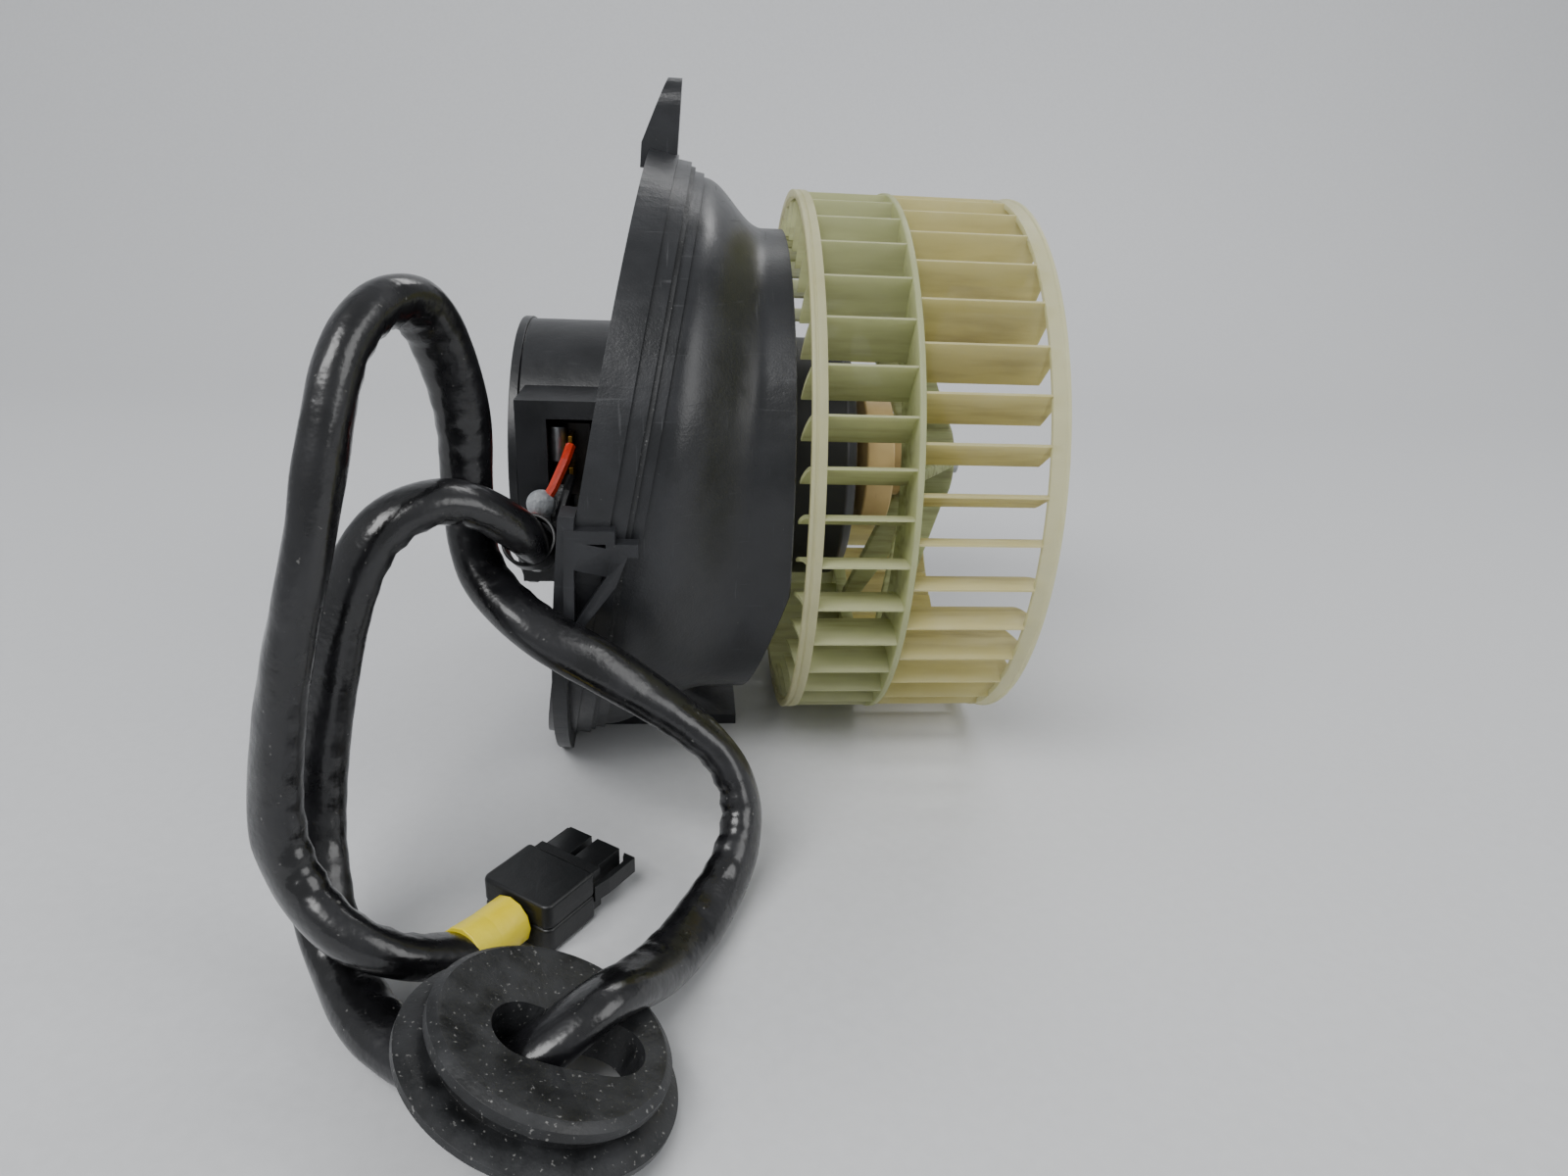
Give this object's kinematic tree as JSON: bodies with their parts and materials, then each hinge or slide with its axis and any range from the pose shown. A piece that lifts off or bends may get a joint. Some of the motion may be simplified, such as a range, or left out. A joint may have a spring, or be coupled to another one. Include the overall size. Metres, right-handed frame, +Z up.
{
  "type": "cabin heater blower",
  "caption": "Vehicle cabin heater blower: a double-inlet fan wheel on an electric motor in a tilted mounting flange, with a sleeved lead, bulkhead grommet and plug.",
  "frame": {"origin": "on the supporting surface, under the middle of the blower's box without its free lead", "axes": "+X along the fan wheel's axis away from the motor, +Z up, -Y towards the terminals and the lead"},
  "size_m": [0.1683, 0.2707, 0.1765],
  "materials": {
    "black_plastic": "satin",
    "bracket_plastic": "satin",
    "seal_rubber": "matte",
    "sleeve_pvc": "gloss",
    "grommet_rubber": "satin",
    "yellow_pvc": "satin",
    "plug_plastic": "satin",
    "green_nylon": "translucent",
    "amber_nylon": "translucent",
    "cream_nylon": "satin",
    "black_painted_steel": "satin",
    "zinc_steel": "brushed",
    "ferrite": "matte",
    "lamination_steel": "matte",
    "copper": "lacquered",
    "bronze": "sintered",
    "brass": "bare",
    "phenolic": "matte",
    "carbon": "matte",
    "foam": "matte",
    "mastic": "matte",
    "red_pvc": "gloss",
    "black_pvc": "gloss",
    "white_nylon": "satin"
  },
  "bodies": {
    "housing": {"mounting_flange": "black_plastic", "flange_seal": "seal_rubber", "air_funnel": "black_plastic", "cable_bracket": "bracket_plastic", "motor_cover": "black_plastic", "terminal_box": "black_plastic", "terminal_block": "phenolic", "terminals": "brass", "suppressor": "zinc_steel", "foam_block": "foam", "sealing_mastic": "mastic", "red_lead": "red_pvc", "black_lead": "black_pvc", "motor_can": "black_painted_steel", "isolator_rings": "seal_rubber", "field_magnets": "ferrite", "magnet_clips": "zinc_steel", "end_plate": "zinc_steel", "rear_bearing": "bronze", "front_bearing": "bronze", "brush_plate": "phenolic", "brush_holders": "brass", "upper_spring": "zinc_steel", "lower_spring": "zinc_steel", "choke_coils": "copper", "cable_sleeve": "sleeve_pvc", "cable_tie": "plug_plastic", "grommet": "grommet_rubber", "yellow_sleeve": "yellow_pvc", "plug_cover": "plug_plastic", "plug_base": "plug_plastic", "plug_housing": "plug_plastic", "plug_contacts": "brass"},
    "rotor": {"motor_shaft": "zinc_steel", "armature_core": "lamination_steel", "armature_windings": "copper", "commutator": "copper", "thrust_washers": "white_nylon", "hub_insert": "cream_nylon", "hub_clip": "zinc_steel", "wheel_disc": "green_nylon", "motor_side_blades": "green_nylon", "free_side_blades": "amber_nylon", "motor_side_band": "green_nylon", "free_side_band": "amber_nylon"},
    "upper_brush": {"upper_brush": "carbon"},
    "lower_brush": {"lower_brush": "carbon"}
  },
  "joints": [
    {"name": "rotor_spin", "type": "hinge", "parent": "housing", "child": "rotor", "pos_m": [0.03, 0.0015, 0.076], "axis": [1, 0, 0], "continuous": true},
    {"name": "upper_brush_slide", "type": "slide", "parent": "housing", "child": "upper_brush", "axis": [0, 0, 1], "range_m": [0, 0.0015], "stiffness_N_per_m": 300, "springref_m": -0.003, "deforming": ["upper_spring"]},
    {"name": "lower_brush_slide", "type": "slide", "parent": "housing", "child": "lower_brush", "axis": [0, 0, -1], "range_m": [0, 0.0015], "stiffness_N_per_m": 300, "springref_m": -0.003, "deforming": ["lower_spring"]}
  ]
}
